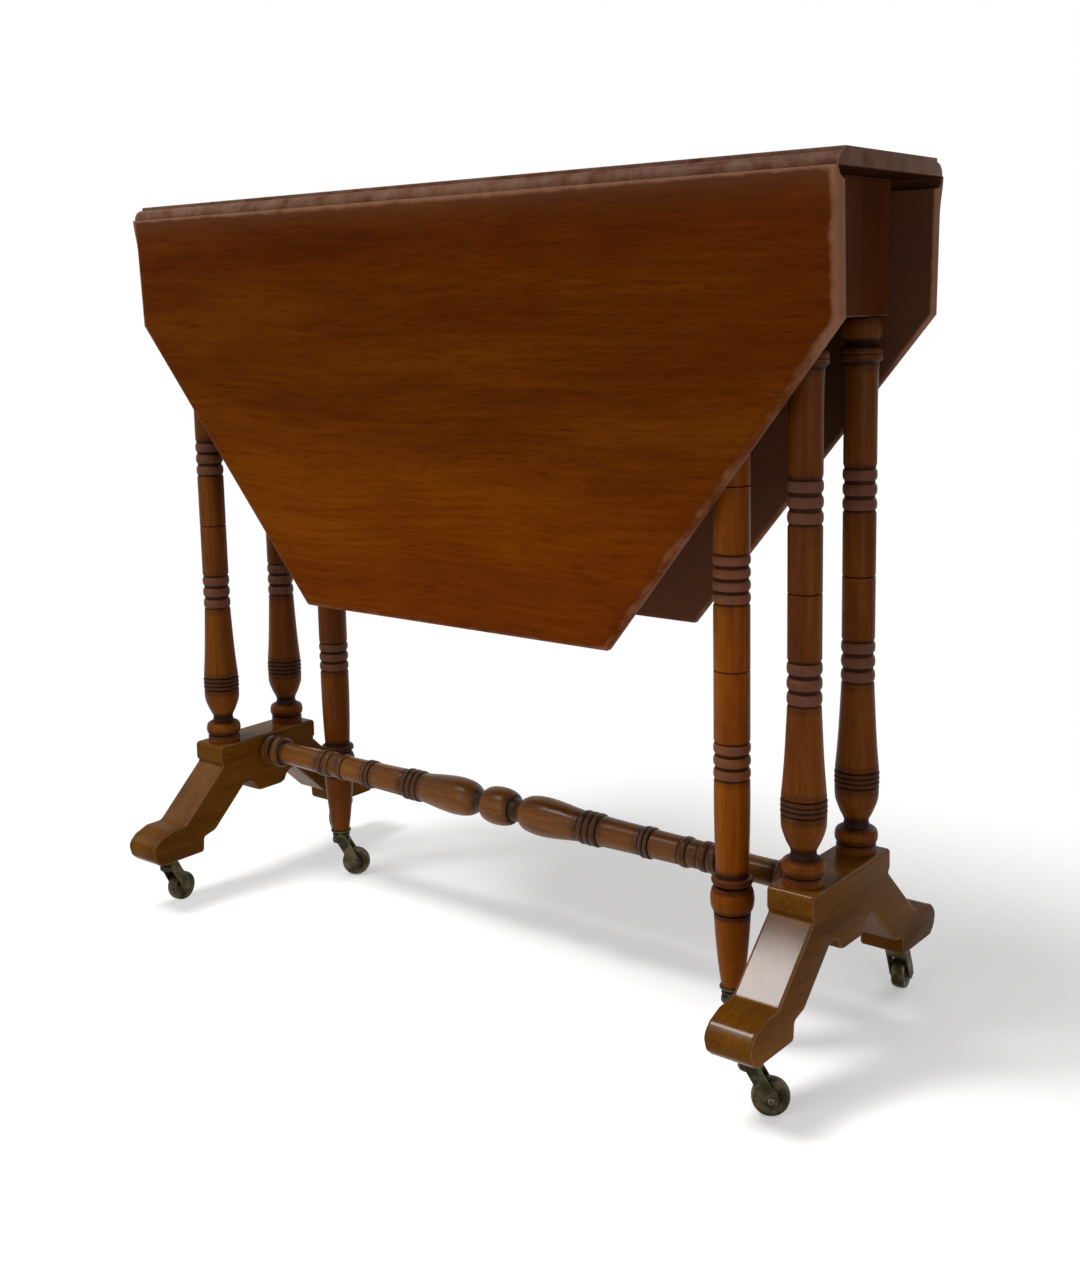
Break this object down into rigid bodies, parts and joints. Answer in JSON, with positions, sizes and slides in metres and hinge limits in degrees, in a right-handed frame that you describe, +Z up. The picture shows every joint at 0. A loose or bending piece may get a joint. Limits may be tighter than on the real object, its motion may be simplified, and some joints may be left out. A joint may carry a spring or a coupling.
{
  "type": "sutherland table",
  "caption": "Narrow drop-leaf table: two clipped-corner leaves on rule joints, swing legs that carry them, turned column trestles, a turned stretcher and brass casters.",
  "frame": {"origin": "on the floor, under the middle of the table", "axes": "+Z up; +X along the table's length; the front leaf, the one that faces the viewer in the picture, hangs on the -Y side"},
  "size_m": [0.774, 0.311, 0.7],
  "materials": {
    "board_wood": "waxed and worn",
    "turned_wood": "polished",
    "foot_wood": "worn",
    "old_brass": "dull, aged",
    "dark_steel": "dull"
  },
  "bodies": {
    "frame": {"centre_top": "board_wood", "left_end_board": "board_wood", "right_end_board": "board_wood", "front_long_rail": "board_wood", "back_long_rail": "board_wood", "front_knuckle_block": "board_wood", "back_knuckle_block": "board_wood", "front_left_column": "turned_wood", "front_right_column": "turned_wood", "back_left_column": "turned_wood", "back_right_column": "turned_wood", "stretcher": "turned_wood", "left_foot": "foot_wood", "right_foot": "foot_wood", "front_left_hinge_top_flap": "old_brass", "front_left_hinge_pin": "dark_steel", "front_right_hinge_top_flap": "old_brass", "front_right_hinge_pin": "dark_steel", "back_left_hinge_top_flap": "old_brass", "back_left_hinge_pin": "dark_steel", "back_right_hinge_top_flap": "old_brass", "back_right_hinge_pin": "dark_steel", "front_gate_pin": "dark_steel", "back_gate_pin": "dark_steel", "front_left_caster_plate": "old_brass", "front_right_caster_plate": "old_brass", "back_left_caster_plate": "old_brass", "back_right_caster_plate": "old_brass"},
    "front_leaf": {"front_leaf": "board_wood", "front_left_hinge_leaf_flap": "old_brass", "front_right_hinge_leaf_flap": "old_brass"},
    "back_leaf": {"back_leaf": "board_wood", "back_left_hinge_leaf_flap": "old_brass", "back_right_hinge_leaf_flap": "old_brass"},
    "front_gate": {"front_fly_rail": "board_wood", "front_gate_leg": "turned_wood", "front_gate_caster_plate": "old_brass"},
    "back_gate": {"back_fly_rail": "board_wood", "back_gate_leg": "turned_wood", "back_gate_caster_plate": "old_brass"},
    "front_left_caster_swivel": {"front_left_caster_horn": "old_brass", "front_left_caster_axle": "dark_steel"},
    "front_left_caster_wheel": {"front_left_caster_wheel": "old_brass"},
    "front_right_caster_swivel": {"front_right_caster_horn": "old_brass", "front_right_caster_axle": "dark_steel"},
    "front_right_caster_wheel": {"front_right_caster_wheel": "old_brass"},
    "back_left_caster_swivel": {"back_left_caster_horn": "old_brass", "back_left_caster_axle": "dark_steel"},
    "back_left_caster_wheel": {"back_left_caster_wheel": "old_brass"},
    "back_right_caster_swivel": {"back_right_caster_horn": "old_brass", "back_right_caster_axle": "dark_steel"},
    "back_right_caster_wheel": {"back_right_caster_wheel": "old_brass"},
    "front_gate_caster_swivel": {"front_gate_caster_horn": "old_brass", "front_gate_caster_axle": "dark_steel"},
    "front_gate_caster_wheel": {"front_gate_caster_wheel": "old_brass"},
    "back_gate_caster_swivel": {"back_gate_caster_horn": "old_brass", "back_gate_caster_axle": "dark_steel"},
    "back_gate_caster_wheel": {"back_gate_caster_wheel": "old_brass"}
  },
  "joints": [
    {"name": "front_leaf_hinge", "type": "hinge", "parent": "frame", "child": "front_leaf", "pos_m": [0, -0.074, 0.6875], "axis": [-1, 0, 0], "range_deg": [0, 92.1]},
    {"name": "back_leaf_hinge", "type": "hinge", "parent": "frame", "child": "back_leaf", "pos_m": [0, 0.074, 0.6875], "axis": [1, 0, 0], "range_deg": [0, 92.1]},
    {"name": "front_gate_pivot", "type": "hinge", "parent": "frame", "child": "front_gate", "pos_m": [0, -0.033, 0.6495], "axis": [0, 0, -1], "range_deg": [0, 2.2]},
    {"name": "back_gate_pivot", "type": "hinge", "parent": "frame", "child": "back_gate", "pos_m": [0, 0.033, 0.6495], "axis": [0, 0, -1], "range_deg": [0, 2.2]},
    {"name": "front_left_caster_swivel", "type": "hinge", "parent": "frame", "child": "front_left_caster_swivel", "pos_m": [-0.341, -0.1225, 0.04175], "axis": [0, 0, 1], "continuous": true},
    {"name": "front_left_caster_spin", "type": "hinge", "parent": "front_left_caster_swivel", "child": "front_left_caster_wheel", "pos_m": [-0.34283, -0.10761, 0.0145], "axis": [-0.9925, -0.1219, 0], "continuous": true},
    {"name": "front_right_caster_swivel", "type": "hinge", "parent": "frame", "child": "front_right_caster_swivel", "pos_m": [0.341, -0.1225, 0.04175], "axis": [0, 0, 1], "continuous": true},
    {"name": "front_right_caster_spin", "type": "hinge", "parent": "front_right_caster_swivel", "child": "front_right_caster_wheel", "pos_m": [0.35372, -0.11455, 0.0145], "axis": [-0.5299, 0.848, 0], "continuous": true},
    {"name": "back_left_caster_swivel", "type": "hinge", "parent": "frame", "child": "back_left_caster_swivel", "pos_m": [-0.341, 0.1225, 0.04175], "axis": [0, 0, 1], "continuous": true},
    {"name": "back_left_caster_spin", "type": "hinge", "parent": "back_left_caster_swivel", "child": "back_left_caster_wheel", "pos_m": [-0.35534, 0.12689, 0.0145], "axis": [-0.2924, -0.9563, 0], "continuous": true},
    {"name": "back_right_caster_swivel", "type": "hinge", "parent": "frame", "child": "back_right_caster_swivel", "pos_m": [0.341, 0.1225, 0.04175], "axis": [0, 0, 1], "continuous": true},
    {"name": "back_right_caster_spin", "type": "hinge", "parent": "back_right_caster_swivel", "child": "back_right_caster_wheel", "pos_m": [0.3384, 0.13727, 0.0145], "axis": [-0.9848, -0.1736, 0], "continuous": true},
    {"name": "front_gate_caster_swivel", "type": "hinge", "parent": "front_gate", "child": "front_gate_caster_swivel", "pos_m": [0.274, -0.038, 0.04175], "axis": [0, 0, 1], "continuous": true},
    {"name": "front_gate_caster_spin", "type": "hinge", "parent": "front_gate_caster_swivel", "child": "front_gate_caster_wheel", "pos_m": [0.28566, -0.02856, 0.0145], "axis": [-0.6293, 0.7771, 0], "continuous": true},
    {"name": "back_gate_caster_swivel", "type": "hinge", "parent": "back_gate", "child": "back_gate_caster_swivel", "pos_m": [-0.257, 0.038, 0.04175], "axis": [0, 0, 1], "continuous": true},
    {"name": "back_gate_caster_spin", "type": "hinge", "parent": "back_gate_caster_swivel", "child": "back_gate_caster_wheel", "pos_m": [-0.24534, 0.04744, 0.0145], "axis": [-0.6293, 0.7771, 0], "continuous": true}
  ]
}
